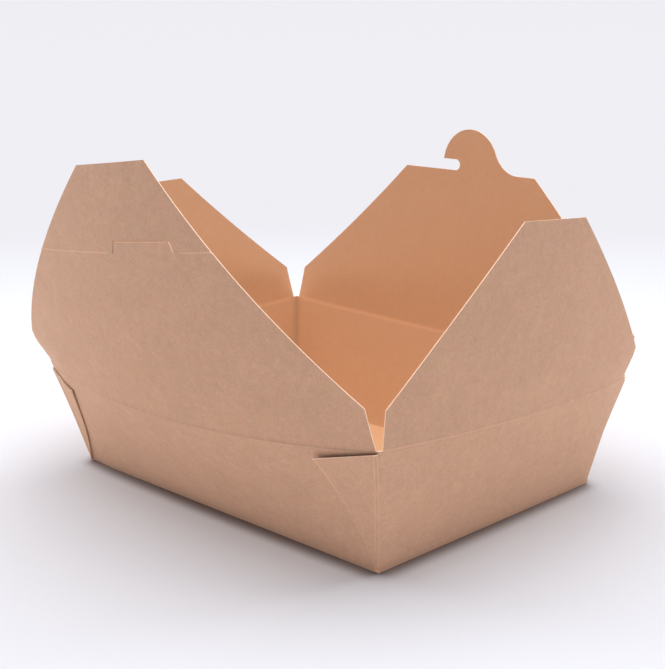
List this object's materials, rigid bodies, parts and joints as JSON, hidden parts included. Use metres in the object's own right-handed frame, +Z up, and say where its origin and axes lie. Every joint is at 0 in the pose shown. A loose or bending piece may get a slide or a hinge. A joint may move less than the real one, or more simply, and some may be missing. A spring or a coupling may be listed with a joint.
{
  "type": "folding takeaway box",
  "caption": "Open folded kraft board takeaway box with flared walls, double corner webs and hinged lid flaps that lock with a hook in a slit.",
  "frame": {"origin": "middle of the underside of the base panel", "axes": "+X along the long side, slot flap on -Y, hook flap on +Y, +Z up out of the box"},
  "size_m": [0.2618, 0.2216, 0.1581],
  "materials": {
    "kraft_board": "matte unprinted kraft paperboard, smoother and warmer on the food side"
  },
  "bodies": {
    "box": {"box_body": "kraft_board"},
    "near_end": {"near_flap": "kraft_board"},
    "far_end": {"far_flap": "kraft_board"},
    "slot_lid": {"slot_flap": "kraft_board"},
    "hook_lid": {"hook_flap": "kraft_board"}
  },
  "joints": [
    {"name": "near_flap_crease", "type": "hinge", "parent": "box", "child": "near_end", "pos_m": [0.11402, -0.0032, 0.05534], "axis": [0.0368, -0.9986, 0.0379], "range_deg": [0, 109]},
    {"name": "far_flap_crease", "type": "hinge", "parent": "box", "child": "far_end", "pos_m": [-0.11406, 0.00319, 0.05537], "axis": [-0.0368, 0.9986, 0.0379], "range_deg": [0, 118]},
    {"name": "slot_flap_crease", "type": "hinge", "parent": "box", "child": "slot_lid", "pos_m": [0.0032, -0.0866, 0.05536], "axis": [-0.9992, 0.0279, -0.0288], "range_deg": [0, 100]},
    {"name": "hook_flap_crease", "type": "hinge", "parent": "box", "child": "hook_lid", "pos_m": [-0.0032, 0.08657, 0.05534], "axis": [0.9992, -0.0279, -0.0288], "range_deg": [0, 88.7]}
  ]
}
